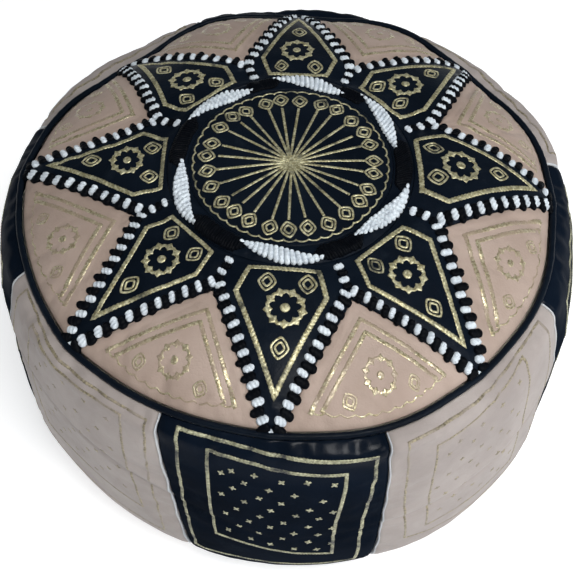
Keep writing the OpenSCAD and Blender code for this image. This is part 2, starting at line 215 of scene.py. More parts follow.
def quarter(part, reach, t):
    """Radius and height along a part of the outline, t in radians from the waist."""
    r0, power = part
    return r0 + (BODY_R - r0) * np.cos(t) ** (2 / power), reach * np.sin(t) ** (2 / power)


def side_outline():
    """Points down the outline from the rim seam to the base seam, and the distance down at each."""
    reach = (SIDE_TOP_Z - WAIST_Z) / math.sin(outline_angle(UPPER, RIM_R)) ** (2 / UPPER[1])
    r_up, z_up = quarter(UPPER, reach, np.linspace(outline_angle(UPPER, SIDE_TOP_R), 0, 200))
    low_t = np.linspace(0, outline_angle(LOWER, SIDE_LOW_R), 200)[1:]
    r_low, z_low = quarter(LOWER, SIDE_LOW_Z - WAIST_Z, low_t)
    r, z = np.concatenate([r_up, r_low]), WAIST_Z + np.concatenate([z_up, z_low])
    down = np.concatenate([[0], np.cumsum(np.hypot(np.diff(r), np.diff(z)))])
    return r, z, down


side_r, side_z, side_down = side_outline()
SIDE_LEN = side_down[-1]
side_nr, side_nz = -np.gradient(side_z, side_down), np.gradient(side_r, side_down)
# How far the stuffing swells the leather, on grids over the seat and the sides. swell_cover() sets them.
relief = {"seat": np.zeros((2, 8)), "side": np.zeros((2, 8))}


def cubic(grid, row, col):
    """Smooth value of a grid at fractional rows and columns. The columns close round the pouf."""
    rows, cols = grid.shape
    row = np.clip(row, 0, rows - 1.001)
    r0, c0 = np.floor(row).astype(int), np.floor(col).astype(int)

    def weights(t):
        return (0.5 * t * (t * (2 - t) - 1), 0.5 * (t * t * (3 * t - 5) + 2),
                0.5 * t * (t * (4 - 3 * t) + 1), 0.5 * t * t * (t - 1))

    total = 0
    row_w, col_w = weights(row - r0), weights(col - c0)
    for i in range(4):
        line = np.clip(r0 + i - 1, 0, rows - 1)
        for j in range(4):
            total = total + row_w[i] * col_w[j] * grid[line, (c0 + j - 1) % cols]
    return total


# ---- The seat ----
def seat_height(r):
    """Height of the seat's leather: nearly flat in the middle, falling to the rim."""
    return HEIGHT - TOP_SINK - (DOME_RISE - TOP_SINK) * (r / RIM_R) ** 4


def seat_twist(r, deg):
    """How far the pattern is turned at a place on the seat."""
    share = np.clip((r - TWIST_FROM) / (RIM_R - TWIST_FROM), 0, 1)
    grown = np.clip((r - MEDALLION_R) / TWIST_GROWS, 0, 1)
    turn = (1 - share) * round_curve(TWIST_RING, deg) + share * round_curve(TWIST_RIM, deg)
    return turn * grown * grown * (3 - 2 * grown)


HALF_STEP = math.radians(STEP / 2)
apex = np.array([APEX_R * math.sin(HALF_STEP), APEX_R * math.cos(HALF_STEP)])
edge_run = np.array([TIP_HALF, RIM_R]) - apex


def edge_angle(r):
    """Angle from a petal's middle to its edge, at the plan radius r."""
    r = np.asarray(r, float)
    a, b = edge_run @ edge_run, apex @ edge_run
    t = (-b + np.sqrt(np.maximum(b * b - a * (APEX_R**2 - r**2), 0))) / a
    angle = np.degrees(np.arctan2(apex[0] + t * edge_run[0], apex[1] + t * edge_run[1]))
    return np.where(r < APEX_R, STEP / 2, angle)


def seam_distance(r, deg):
    """Distance on the plan from the nearest seam of the seat."""
    a = np.radians(from_middle(deg))
    x, y = r * np.sin(a), r * np.cos(a)
    t = ((x - apex[0]) * edge_run[0] + (y - apex[1]) * edge_run[1]) / (edge_run @ edge_run)
    t = np.clip(t, 0, 1)
    edge = np.hypot(x - apex[0] - t * edge_run[0], y - apex[1] - t * edge_run[1])
    up = np.clip(x * math.sin(HALF_STEP) + y * math.cos(HALF_STEP), RING_R, APEX_R)
    neck = np.hypot(x - up * math.sin(HALF_STEP), y - up * math.cos(HALF_STEP))
    rings = np.minimum(np.abs(r - MEDALLION_R), np.abs(r - RING_R))
    return np.minimum(np.minimum(edge, neck), np.minimum(rings, np.abs(RIM_R - r)))


seat_wave = Ripple(3, 7, (3, 9), (0.008, 0.02))


def seat_relief(r, deg):
    """How far the seat's leather stands out between its seams."""
    grid = relief["seat"]
    row = (r - MEDALLION_R) / (RIM_R - MEDALLION_R) * (grid.shape[0] - 1)
    swell = cubic(grid, row, np.mod(deg, 360) / 360 * grid.shape[1])
    middle = 2.2 * (1 - bell(np.maximum(MEDALLION_R - r, 0), 15))
    navel = -1.6 * bell(r, 7)
    fall = -2.0 * np.clip((r - RIM_R + 16) / 16, 0, 1) ** 2
    return swell + middle + navel + fall + 0.7 * seat_wave(deg, r) * np.clip(r / 60, 0, 1)


def rim_pull(angle):
    """Radial and upward shift of the rim in a direction."""
    pull = CUSP * cusp(angle - round_curve(TWIST_RIM, angle))
    return round_curve(RIM_OUT, angle) + pull, 0.5 * pull - round_curve(RIM_DROP, angle)


def hump(r, start, power=1.0):
    """0 up to the radius start and at the rim, and 1 between them."""
    return np.sin(math.pi * np.clip((r - start) / (RIM_R - start), 0, 1) ** power)


def seat(x, y, h=0.0):
    """3-D place over the plan place (x, y), h above the leather."""
    x, y, h = np.broadcast_arrays(np.asarray(x, float), np.asarray(y, float), np.asarray(h, float))
    r = np.hypot(x, y)
    deg = np.degrees(np.arctan2(x, -y))
    reach = r / RIM_R
    angle = deg + seat_twist(r, deg)
    out, up = rim_pull(angle)
    lift = seat_relief(r, deg) + h
    slope = 4 * (DOME_RISE - TOP_SINK) * reach**3 / RIM_R
    size = np.hypot(slope, 1)
    radius = r - round_curve(PULL, angle) * hump(r, RING_R) + out * reach**4 + slope / size * lift
    z = seat_height(r) - round_curve(DIP, angle) * hump(r, DIP_FROM, 0.6) + up * reach**5 + lift / size
    return around(radius, angle, z)


# ---- The sides ----
pucker = Ripple(11, 9, (40, 110), (0.0, 0.03))
sag = Ripple(12, 8, (3, 14), (0.01, 0.03))
wrinkle = Ripple(13, 10, (25, 70), (0.005, 0.06))


def side_relief(deg, down):
    """How far the sides' leather stands out: swell, seams, puckers, wrinkles, the old fold and the puff."""
    share = np.clip(down / SIDE_LEN, 0, 1)
    grid = relief["side"]
    swell = cubic(grid, share * (grid.shape[0] - 1), np.mod(deg, 360) / 360 * grid.shape[1])
    groove = -1.8 * bell(seam_away(deg), 3.5)
    tucks = 0.15 * pucker(deg, down) * (np.exp(-down / 15) + np.exp(-(SIDE_LEN - down) / 22))
    wrinkles = 0.2 * wrinkle(deg, down) * (0.6 + 0.4 * sag(deg, down))
    gap = down - round_curve(FOLD_DOWN, deg)
    depth = np.maximum(round_curve(FOLD_DEPTH, deg), 0)
    crease = depth * (-2.4 * bell(gap, 4.0) + 1.7 * bell(gap + 10, 8))
    puff = round_curve(ROLL, deg) * (1 + 0.3 * sag(deg, 0) + 0.04 * pucker(deg, 0)) * bell(down - 15, 9)
    full = (0.9 * sag(deg, down) - 2 + round_curve(BULGE, deg)) * np.sin(np.pi * share) ** 0.7
    return swell + groove + tucks + wrinkles + crease + puff + full


def side(across, down, h=0.0):
    """3-D place on the sides. across is measured along the widest circle, from the front."""
    across, down, h = (np.asarray(value, float) for value in (across, down, h))
    across, down, h = np.broadcast_arrays(across, down, h)
    deg = np.degrees(across / BODY_R)
    share = np.clip(down / TWIST_REACH, 0, 1)
    angle = deg + (1 - share) * round_curve(TWIST_SIDE, deg) + share * round_curve(TWIST_LOW, deg)
    out, up = rim_pull(angle)
    near = np.exp(-np.maximum(down, 0) / RIM_REACH)
    lift = side_relief(deg, down) + h
    nr, nz = np.interp(down, side_down, side_nr), np.interp(down, side_down, side_nz)
    size = np.hypot(nr, nz)
    radius = np.interp(down, side_down, side_r) + out * near + nr / size * lift
    z = np.interp(down, side_down, side_z) + up * near + nz / size * lift
    return around(radius, angle, z)


def rim_line(deg):
    """Middle of the rim piping in each direction: just outside the seat's edge."""
    out, up = rim_pull(deg)
    return around(RIM_R + PIPE_OUT + out, deg, RIM_Z - PIPE_DOWN + up)


# ---- Mesh making ----
def add(name, data):
    """A new object in the scene."""
    made = bpy.data.objects.new(name, data)
    bpy.context.scene.collection.objects.link(made)
    return made


def make(name, shape, material, node=None, turn_out=False):
    """A piece of points in millimetres and faces, in place of a CAD node. It rides on the pouf's body.
    turn_out turns the faces so that they all look outwards."""
    points, faces = shape
    mesh = bpy.data.meshes.new(name)
    mesh.from_pydata((np.asarray(points) * MM).tolist(), [], [tuple(map(int, f)) for f in faces])
    mesh.validate()
    mesh.update()
    mesh.shade_smooth()
    mesh.materials.append(material)
    piece = add(name, mesh)
    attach(piece, "pouf")
    if turn_out:
        work = bmesh.new()
        work.from_mesh(piece.data)
        bmesh.ops.recalc_face_normals(work, faces=work.faces)
        work.to_mesh(piece.data)
        work.free()
    if node:
        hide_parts(node)
    return piece


def grid_faces(rows, cols, first=0, close_rows=False, close_cols=False, flip=False):
    """Quads of a grid of points numbered row by row."""
    i = np.arange(rows if close_rows else rows - 1)
    j = np.arange(cols if close_cols else cols - 1)
    i, j = np.meshgrid(i, j, indexing="ij")
    i2, j2 = (i + 1) % rows, (j + 1) % cols
    quads = np.stack([i * cols + j, i * cols + j2, i2 * cols + j2, i2 * cols + j], -1).reshape(-1, 4)
    return (quads[:, ::-1] if flip else quads) + first


def shell(outer, inner, close_cols=False):
    """Points and faces of a closed shell between two grids of the same shape."""
    rows, cols = outer.shape[:2]
    n = rows * cols
    faces = [grid_faces(rows, cols, 0, False, close_cols), grid_faces(rows, cols, n, False, close_cols, True)]
    lines = [np.arange(cols), (rows - 1) * cols + np.arange(cols)[::-1]]
    if not close_cols:
        lines += [(rows - 1 - np.arange(rows)) * cols, np.arange(rows) * cols + cols - 1]
    for line in lines:
        a, b = (line, np.roll(line, -1)) if close_cols else (line[:-1], line[1:])
        faces.append(np.stack([b, a, a + n, b + n], -1))
    return np.concatenate([outer.reshape(-1, 3), inner.reshape(-1, 3)]), np.concatenate(faces)


def join(parts):
    """One list of points and one of faces from several."""
    points, faces, first = [], [], 0
    for p, f in parts:
        points.append(p)
        faces += [tuple(int(v) + first for v in face) for face in f]
        first += len(p)
    return np.concatenate(points), faces


def edge_steps(width, step, near=(0, 0.35, 0.9, 1.7, 2.8, 4.2)):
    """Distances across a piece of this width, crowded near both edges."""
    near = np.array(near) * min(1, width / (2.6 * near[-1]))
    middle = np.linspace(near[-1], width - near[-1], max(2, int(width / step)))
    return np.concatenate([near[:-1], middle, (width - near)[::-1][1:]])


def rolled(distance, drop=1.5, reach=3.2):
    """How far leather dips at a distance from its own edge, where it turns down into the seam."""
    t = np.clip(distance / reach, 0, 1)
    return -drop * (1 - np.sqrt(np.clip(1 - (1 - t) ** 2, 0, 1)))


# ---- The stuffing's swell ----
COVER_COLUMNS = 288
SEAT_ROWS, SIDE_ROWS = 32, 54
# Radii of the cover's rows inside the medallion and under the base
MEDALLION_RADII, BASE_RADII = [6, 35, 65], [150.0, 80, 6]
SWELL_FRAMES = 20
SEAT_CAP, SIDE_CAP = 5.5, 6.5
CLOTH_MASS, CLOTH_STIFF, CLOTH_PRESSURE, CLOTH_SLACK = 0.3, 15, 2.0, -0.012
cover_deg = np.arange(COVER_COLUMNS) * 360 / COVER_COLUMNS


def cover_rows():
    """Places and outward directions over the whole cover, row by row from the seat's middle to the base's,
    and where the leather is held: along its seams, in the medallion and in the base."""
    r = np.concatenate([MEDALLION_RADII, np.linspace(MEDALLION_R, RIM_R, SEAT_ROWS)])[:, None]
    x, y = plan(r, cover_deg)
    down = np.linspace(0, SIDE_LEN, SIDE_ROWS)[:, None]
    across = np.radians(cover_deg) * BODY_R
    places = np.concatenate([seat(x, y), side(across, down)])
    normals = np.concatenate([seat(x, y, 1.0), side(across, down, 1.0)]) - places
    base = around(np.array(BASE_RADII)[:, None], cover_deg, BASE_LIFT + LEATHER_T)
    places = np.concatenate([places, base])
    normals = np.concatenate([normals, np.broadcast_to([0, 0, -1.0], base.shape)])
    seat_held = (seam_distance(r, cover_deg) < 3.2) | (r <= MEDALLION_R)
    side_held = (seam_away(cover_deg) < 3) | (down < 1) | (down > SIDE_LEN - 1)
    held = np.concatenate([seat_held, side_held, np.ones(base.shape[:2], bool)])
    return places, normals, held


def cloth_swell():
    """How far each place of the cover moves outwards when a cloth simulation blows it up from inside."""
    places, normals, held = cover_rows()
    first, last = range(COVER_COLUMNS), range((len(places) - 1) * COVER_COLUMNS, len(places) * COVER_COLUMNS)
    faces = grid_faces(len(places), COVER_COLUMNS, close_cols=True, flip=True).tolist()
    faces += [list(first), list(last)[::-1]]
    mesh = bpy.data.meshes.new("cover")
    mesh.from_pydata((places.reshape(-1, 3) * MM).tolist(), [], faces)
    cover = add("cover", mesh)
    pins = cover.vertex_groups.new(name="held")
    pins.add(np.flatnonzero(held.ravel()).tolist(), 1.0, "ADD")
    cloth = cover.modifiers.new("cloth", "CLOTH")
    cloth.point_cache.frame_start, cloth.point_cache.frame_end = 1, SWELL_FRAMES
    settings = cloth.settings
    settings.quality = 5
    settings.mass = CLOTH_MASS
    settings.tension_stiffness, settings.compression_stiffness = CLOTH_STIFF, CLOTH_STIFF
    settings.shear_stiffness, settings.bending_stiffness = 5, 0.5
    settings.use_pressure = True
    settings.uniform_pressure_force = CLOTH_PRESSURE
    settings.shrink_min = CLOTH_SLACK
    settings.vertex_group_mass = "held"
    settings.effector_weights.gravity = 0
    scene = bpy.context.scene
    for number in range(1, SWELL_FRAMES + 1):
        scene.frame_set(number)
    moved = cover.evaluated_get(bpy.context.evaluated_depsgraph_get()).to_mesh()
    at = np.empty(len(moved.vertices) * 3)
    moved.vertices.foreach_get("co", at)
    scene.frame_set(1)
    bpy.data.objects.remove(cover)
    return ((at.reshape(places.shape) / MM - places) * normals).sum(-1)


def swell_cover():
    out = cloth_swell()[len(MEDALLION_RADII):]
    relief["seat"] = SEAT_CAP * np.tanh(out[:SEAT_ROWS] / SEAT_CAP)
    relief["side"] = SIDE_CAP * np.tanh(out[SEAT_ROWS:SEAT_ROWS + SIDE_ROWS] / SIDE_CAP)


# ---- Materials ----
class Nodes:
    """A node tree, with short ways to add and join nodes."""

    def __init__(self, tree):
        self.tree = tree

    def node(self, kind, **inputs):
        made = self.tree.nodes.new(kind)
        for key, value in inputs.items():
            socket = key if key in made.inputs else key.replace("_", " ")
            if socket in made.inputs:
                self.join(value, made.inputs[socket])
            else:
                setattr(made, key, value)
        return made

    def join(self, value, socket):
        if isinstance(value, bpy.types.NodeSocket):
            self.tree.links.new(value, socket)
        else:
            socket.default_value = value

    def span(self, value, low, high, to_low, to_high):
        made = self.node("ShaderNodeMapRange", Value=value)
        for key, number in zip(("From Min", "From Max", "To Min", "To Max"), (low, high, to_low, to_high)):
            made.inputs[key].default_value = number
        return made.outputs["Result"]

    def sum_up(self, operation, *values):
        """The result of an operation such as MULTIPLY, ADD or SINE on one or two values."""
        made = self.node("ShaderNodeMath", operation=operation)
        for value, socket in zip(values, made.inputs):
            self.join(value, socket)
        return made.outputs[0]


class Look(Nodes):
    """A material's node tree. Colours are red, green and blue."""

    def __init__(self, name, **sockets):
        self.material = bpy.data.materials.new(name)
        self.material.use_nodes = True
        super().__init__(self.material.node_tree)
        self.shader = self.tree.nodes["Principled BSDF"]
        self.place = self.node("ShaderNodeTexCoord").outputs["Object"]
        for socket, value in sockets.items():
            self.shader.inputs[socket.replace("_", " ")].default_value = value

    def noise(self, scale, detail=3.0, rough=0.5, warp=0.0):
        made = self.node("ShaderNodeTexNoise", Vector=self.place, Scale=scale, Detail=detail,
                         Roughness=rough, Distortion=warp)
        return made.outputs["Fac"]

    def cells(self, scale):
        made = self.node("ShaderNodeTexVoronoi", Vector=self.place, feature="DISTANCE_TO_EDGE", Scale=scale)
        return made.outputs["Distance"]

    def mix(self, share, a, b):
        made = self.node("ShaderNodeMix", data_type="RGBA")
        for value, number in ((share, 0), (a, 6), (b, 7)):
            self.join((*value, 1) if isinstance(value, tuple) else value, made.inputs[number])
        return made.outputs[2]

    def bumps(self, *layers):
        """Each layer is (height, strength, distance in metres). The last one sits on the others."""
        normal = None
        for height, strength, distance in layers:
            made = self.node("ShaderNodeBump", Height=height, Strength=strength, Distance=distance)
            if normal is not None:
                self.join(normal, made.inputs["Normal"])
            normal = made.outputs["Normal"]
        self.join(normal, self.shader.inputs["Normal"])

    def colour(self, value):
        self.join(value, self.shader.inputs["Base Color"])

    def rough(self, value):
        self.join(value, self.shader.inputs["Roughness"])


def leather(name, dark, light, scuff, rough, grain, specular, shine=None):
    """Grained leather: patchy dye, pale scuffs, and creases under a fine grain. shine is how polished it is
    low down and at the rim."""
    look = Look(name, Specular_IOR_Level=specular, Coat_Roughness=0.25)
    if shine:
        height = look.node("ShaderNodeSeparateXYZ", Vector=look.place).outputs["Z"]
        polish = look.span(height, (RIM_Z - 45) * MM, (RIM_Z - 12) * MM, *shine)
        look.join(polish, look.shader.inputs["Coat Weight"])
    patches = look.noise(14, 4, 0.6)
    tone = look.mix(look.span(patches, 0.35, 0.65, 0, 1), dark, light)
    fine = look.noise(420, 2, 0.6)
    rubbed = look.span(look.noise(38, 5, 0.65, 0.4), 0.56, 0.74, 0, 0.5)
    worn = look.sum_up("MULTIPLY", rubbed, look.span(fine, 0.3, 0.7, 0.4, 1))
    look.colour(look.mix(worn, tone, scuff))
    look.rough(look.span(look.noise(60, 4, 0.6), 0.3, 0.7, rough - 0.07, rough + 0.09))
    look.bumps((look.noise(26, 4, 0.55, 0.6), 0.35, 0.0022),
               (look.span(look.cells(300), 0, 0.25, 0, 1), grain, 0.0003),
               (fine, grain, 0.00025))
    return look.material


def thread(name, colour, shade, rough, sheen, specular):
    """Twisted thread: fine strands and small differences of tone."""
    look = Look(name, Sheen_Weight=sheen, Sheen_Roughness=0.5, Specular_IOR_Level=specular)
    look.colour(look.mix(look.span(look.noise(160, 3), 0.3, 0.7, 0, 1), shade, colour))
    look.rough(look.span(look.noise(500, 2), 0.3, 0.7, rough - 0.1, rough + 0.1))
    look.bumps((look.noise(900, 3, 0.7), 0.5, 0.0004))
    return look.material


def gold_foil(name, bright, dull, under, kept, rough, metal=0.65):
    """Stamped foil that has worn off in places, down to the leather under it."""
    look = Look(name)
    patches = look.noise(55, 4, 0.65)
    specks = look.noise(650, 3, 0.7)
    whole = look.span(patches, 0.62 - kept, 0.78 - kept, 0, 1)
    left = look.sum_up("MULTIPLY", whole, look.span(specks, 0.3, 0.5, 0.35, 1))
    tone = look.mix(look.span(look.noise(380, 2), 0.38, 0.64, 0, 1), dull, bright)
    look.colour(look.mix(left, under, tone))
    look.join(look.span(left, 0, 1, 0.1, metal), look.shader.inputs["Metallic"])
    look.rough(look.span(specks, 0.3, 0.7, rough - 0.08, rough + 0.14))
    look.bumps((specks, 0.6, 0.0004), (look.cells(500), 0.4, 0.0004))
    return look.material


def woven(name, colour, shade, pitch):
    """Plain-woven cotton, its threads crossing every pitch millimetres."""
    look = Look(name, Sheen_Weight=0.2, Specular_IOR_Level=0.2)
    parts = look.node("ShaderNodeSeparateXYZ", Vector=look.place)
    waves = []
    for axis in ("X", "Y", "Z"):
        turn = look.sum_up("MULTIPLY", parts.outputs[axis], 2 * math.pi / (pitch * MM))
        waves.append(look.sum_up("SINE", turn))
    weave = look.sum_up("ADD", look.sum_up("MULTIPLY", waves[0], waves[1]), waves[2])
    look.colour(look.mix(look.span(weave, -1, 1, 0, 1), shade, colour))
    look.rough(look.span(look.noise(200, 2), 0.3, 0.7, 0.75, 0.9))
    look.bumps((weave, 0.5, 0.0003), (look.noise(700, 2), 0.3, 0.0002))
    return look.material


def brushed_brass(name):
    """Satin brass with fine scratches and a little tarnish."""
    look = Look(name, Metallic=1.0)
    tarnish = look.span(look.noise(240, 4, 0.6), 0.45, 0.75, 0, 0.7)
    look.colour(look.mix(tarnish, (0.62, 0.47, 0.22), (0.30, 0.21, 0.10)))
    look.rough(look.span(look.noise(900, 2), 0.3, 0.7, 0.24, 0.42))
    look.bumps((look.noise(1500, 2), 0.2, 0.0001))
    return look.material


BLACK = leather("black_leather", (0.0022, 0.0042, 0.0080), (0.004, 0.0072, 0.013), (0.014, 0.020, 0.028),
                0.38, 0.22, 0.06)
BLACK_SIDE = leather("black_side_leather", (0.0022, 0.0044, 0.0088), (0.004, 0.0074, 0.0145),
                     (0.012, 0.018, 0.026), 0.34, 0.3, 0.0, (0.02, 0.12))
TAN = leather("tan_leather", (0.33, 0.25, 0.205), (0.40, 0.31, 0.26), (0.27, 0.205, 0.165), 0.62, 0.2, 0.3)
TAN_SIDE = leather("tan_side_leather", (0.295, 0.258, 0.240), (0.365, 0.322, 0.300), (0.24, 0.208, 0.19),
                   0.6, 0.22, 0.25)
EDGE = leather("leather_edge", (0.42, 0.44, 0.46), (0.55, 0.56, 0.57), (0.3, 0.28, 0.27), 0.75, 0.3, 0.2)
WHITE_THREAD = thread("white_thread", (0.68, 0.74, 0.78), (0.46, 0.51, 0.56), 0.6, 0.1, 0.3)
BLACK_THREAD = thread("black_thread", (0.0020, 0.0028, 0.0045), (0.0010, 0.0014, 0.0025), 0.5, 0.0, 0.05)
GOLD_ON_BLACK = gold_foil("gold_on_black", (0.74, 0.70, 0.46), (0.36, 0.32, 0.17), (0.06, 0.06, 0.04),
                          0.30, 0.40)
# Painted shade: the black sides' gold is the seat's gold foil in darker colours, standing in for the shade on
# the upright sides
SHADED_GOLD_ON_BLACK_SIDE = gold_foil("gold_on_black_side", (0.50, 0.49, 0.33), (0.24, 0.235, 0.15),
                               (0.03, 0.032, 0.03), 0.27, 0.46, 0.5)
GOLD_ON_TAN = gold_foil("gold_on_tan", (0.66, 0.60, 0.40), (0.29, 0.24, 0.13), (0.31, 0.245, 0.175),
                        0.20, 0.28)
# Painted shade: the tan sides' gold is the triangles' gold foil in much darker colours, standing in for the
# shade of grazing light on the upright sides
SHADED_GOLD_ON_TAN_SIDE = gold_foil("gold_on_tan_side", (0.36, 0.31, 0.20), (0.15, 0.125, 0.08), (0.27, 0.23, 0.19),
                             0.24, 0.42, 0.3)
COTTON = woven("cotton", (0.72, 0.66, 0.55), (0.50, 0.45, 0.36), 1.2)
ZIP_TAPE = woven("zip_tape", (0.03, 0.03, 0.035), (0.008, 0.008, 0.01), 0.7)
BRASS = brushed_brass("zip_brass")


# ---- Leather of the seat ----
SEAT_EDGE = RIM_R - 0.6
PETAL_LIFT = 0.9
MEDALLION_LIFT = 0.4


def seat_panel(name, node, middle, r0, half, lift, material):
    """A piece of the seat from the radius r0 to its edge. half(r) is the angle from its middle to a side."""
    rows = r0 + edge_steps(SEAT_EDGE - r0, 3.0)
    widest = np.radians(half(rows)) * rows
    columns = edge_steps(2 * widest.max(), 3.4)
    share = columns / columns[-1] * 2 - 1
    width = widest[:, None]
    # keep the crowded columns at their true distance from the edge where the piece narrows
    from_edge = np.minimum(np.minimum(columns, columns[-1] - columns), (1 - np.abs(share)) * width)
    across = np.sign(share) * (width - np.minimum(from_edge, width))
    x, y = plan(rows[:, None], middle + np.degrees(across / rows[:, None]))
    edge = np.minimum(np.minimum(rows - r0, SEAT_EDGE - rows)[:, None], width - np.abs(across))
    make(name, shell(seat(x, y, lift + rolled(edge)), seat(x, y, LEATHER_BACK)), material, node)


def round_panel(name, node, r0, r1, lift):
    """A round or ring-shaped piece of the seat."""
    rows = r0 + edge_steps(r1 - r0, 2.6)
    x, y = plan(rows[:, None], np.arange(0, 360, 1.5))
    edge = r1 - rows if r0 < 1 else np.minimum(rows - r0, r1 - rows)
    outer = seat(x, y, (lift + rolled(edge, 0.6))[:, None])
    make(name, shell(outer, seat(x, y, LEATHER_BACK), close_cols=True), BLACK, node)


def seat_leather():
    round_panel("medallion_leather", "medallion", 0.2, MEDALLION_R, MEDALLION_LIFT)
    round_panel("ring_leather", "embroidery_ring", MEDALLION_R + 0.3, RING_R, 0.3)
    for k in range(PETALS):
        seat_panel(f"star_petal_leather_{k + 1}", f"star_petal_{k + 1}", k * STEP, RING_R + 0.3,
                   lambda r: edge_angle(r) - 0.06, PETAL_LIFT, BLACK)
        seat_panel(f"rim_triangle_leather_{k + 1}", f"rim_triangle_{k + 1}", (k + 0.5) * STEP, APEX_R + 0.8,
                   lambda r: STEP / 2 - edge_angle(r) - 0.05, 0.1, TAN)


# ---- Leather of the sides, and piping ----
def side_leather():
    half = math.radians(STEP / 2) * BODY_R - 0.35
    rows = edge_steps(SIDE_LEN, 3.6)[:, None]
    for k in range(PETALS):
        columns = k * math.radians(STEP) * BODY_R - half + edge_steps(2 * half, 3.6)
        from_side = np.minimum(columns - columns[0], columns[-1] - columns)
        edge = np.minimum(np.minimum(rows, SIDE_LEN - rows), from_side)
        outer = side(columns, rows, rolled(edge, 1.6, 3.6))
        points, faces = shell(outer, side(columns, rows, LEATHER_BACK))
        material, slot = (TAN_SIDE, "tan_leather") if k % 2 else (BLACK_SIDE, "black_leather")
        make(f"side_leather_{k + 1}", (points, faces[:, ::-1]), material, f"side_panel_{k + 1}")


TUBE_SIDES = 20
CORD_R = 2.1
gather = Ripple(21, 8, (60, 170), (0.1, 0.4))


def tube(line, radius, floor=None):
    """Points and faces of a closed tube round a closed line. radius may differ along it and round it."""
    ahead = np.roll(line, -1, 0) - np.roll(line, 1, 0)
    ahead /= np.linalg.norm(ahead, axis=1)[:, None]
    out = np.cross(ahead, [0, 0, 1.0])
    out /= np.linalg.norm(out, axis=1)[:, None]
    up = np.cross(out, ahead)
    turn = (np.arange(TUBE_SIDES) / TUBE_SIDES * 2 * math.pi)[:, None]
    points = line[:, None] + radius[..., None] * (out[:, None] * np.cos(turn) + up[:, None] * np.sin(turn))
    if floor is not None:
        points[..., 2] = np.maximum(points[..., 2], floor)
    return points.reshape(-1, 3), grid_faces(len(line), TUBE_SIDES, 0, True, True)


def piping():
    """Gathered leather round a twisted cord, at the rim and at the base."""
    deg = np.arange(0, 360, 0.4)
    turn = np.arange(TUBE_SIDES) / TUBE_SIDES * 360
    gathers = 1 + 0.035 * gather(deg[:, None], turn / 60)
    twist = 1 + 0.09 * np.cos(np.radians(3 * turn + 220 * deg[:, None]))
    lines = {"rim_piping": rim_line(deg), "base_piping": around(BASE_R, deg, BASE_PIPE_Z)}
    for node, radius, floor in (("rim_piping", PIPING_R - PIPING_SUNK, None), ("base_piping", PIPING_R, 0.0)):
        leather_tube = tube(lines[node], radius * gathers, floor)
        make(f"{node}_leather", leather_tube, BLACK, node)
    for node, line in lines.items():
        make(f"{node}_cord_cotton", tube(line, CORD_R * twist), COTTON, f"{node}_cord")


def seam_edges():
    """The pale cut edge that shows along each upright seam, on the tan panel's side."""
    parts = []
    for k in range(PETALS):
        tan_side = 1 if k % 2 == 0 else -1
        down = np.arange(1.0, SIDE_LEN - 4, 1.6)
        middle = (k + 0.5) * math.radians(STEP) * BODY_R + tan_side * 0.9 + 0.5 * np.sin(down / 7 + k)
        parts.append(strip(np.stack([middle, down], -1), 0.75, 1.3, side, floor=-1.8, rope=0.06))
    make("side_seam_raw_edges", join(parts), EDGE, "side_seam_edges")


# ---- Lines and lumps laid on a surface ----
def along(line, step, closed=False):
    """Points at equal steps along a line with corners. The corners stay."""
    line = np.asarray(line, float)
    if closed:
        line = np.concatenate([line, line[:1]])
    points = []
    for a, b in zip(line[:-1], line[1:]):
        n = max(1, int(round(np.linalg.norm(b - a) / step)))
        points += [a + (b - a) * i / n for i in range(n)]
    if not closed:
        points.append(line[-1])
    return np.array(points)


def unit(vectors):
    return vectors / np.maximum(np.linalg.norm(vectors, axis=1), 1e-6)[:, None]


def strip(line, half, rise, surface, closed=False, floor=-0.5, rope=0.1, pitch=3.0):
    """A raised line with a twisted-rope relief, closed underneath at the height floor. Points and faces."""
    line = np.asarray(line, float)
    if closed:
        before, after = np.roll(line, 1, 0), np.roll(line, -1, 0)
    else:
        before = np.concatenate([[2 * line[0] - line[1]], line[:-1]])
        after = np.concatenate([line[1:], [2 * line[-1] - line[-2]]])
    length = np.concatenate([[0], np.cumsum(np.linalg.norm(after - line, axis=1)[:-1])])
    a, b = unit(line - before), unit(after - line)
    ahead = unit(a + b)
    left = np.stack([-ahead[:, 1], ahead[:, 0]], -1)
    mitre = np.minimum(1 / np.maximum(np.abs((a * ahead).sum(1)), 0.3), 1.7)
    v = np.array([-1, -0.6, 0, 0.6, 1])
    phase = length[:, None] / pitch * 2 * math.pi
    reach = half * mitre[:, None] * v * (1 + 0.16 * rope * np.sin(phase + 1.2 * np.sign(v)))
    beads = np.abs(np.sin(phase / 2 + np.array([0, 0, 0.8, 1.6, 0])))
    crown = rise * np.array([0.1, 1, 1, 1, 0.1]) * (1 - rope * (1 - beads) * np.array([0, 1, 1, 1, 0]))
    # the five points of the crown, then the two sunk corners under its edges
    flat = line[:, None] + left[:, None] * reach[:, [0, 1, 2, 3, 4, 4, 0], None]
    heights = np.concatenate([crown, np.full((len(line), 2), floor)], 1)
    points = surface(flat[..., 0], flat[..., 1], heights)
    faces = grid_faces(len(line), 7, 0, closed, True, flip=True).tolist()
    if not closed:
        last = (len(line) - 1) * 7
        faces += [range(7), range(last + 6, last - 1, -1)]
    return points.reshape(-1, 3), faces


def blob(outline, rise, surface):
    """A small filled shape, highest in its middle and sunk a little under its edge. Points and faces."""
    n = len(outline)
    sunk = -0.4
    middle = outline.mean(0)
    inner = middle + (outline - middle) * 0.6
    flat = np.concatenate([outline, outline, inner, middle[None]])
    heights = np.concatenate([np.full(n, sunk), np.full(n, rise * 0.25), np.full(n, rise * 0.9), [rise]])
    points = surface(flat[:, 0], flat[:, 1], heights)
    i = np.arange(n)
    j = (i + 1) % n
    faces = [i[::-1]]
    for base in (0, n):
        faces += list(np.stack([i + base, j + base, j + base + n, i + base + n], -1))
    faces += list(np.stack([i + 2 * n, j + 2 * n, np.full(n, 3 * n)], -1))
    return points, faces


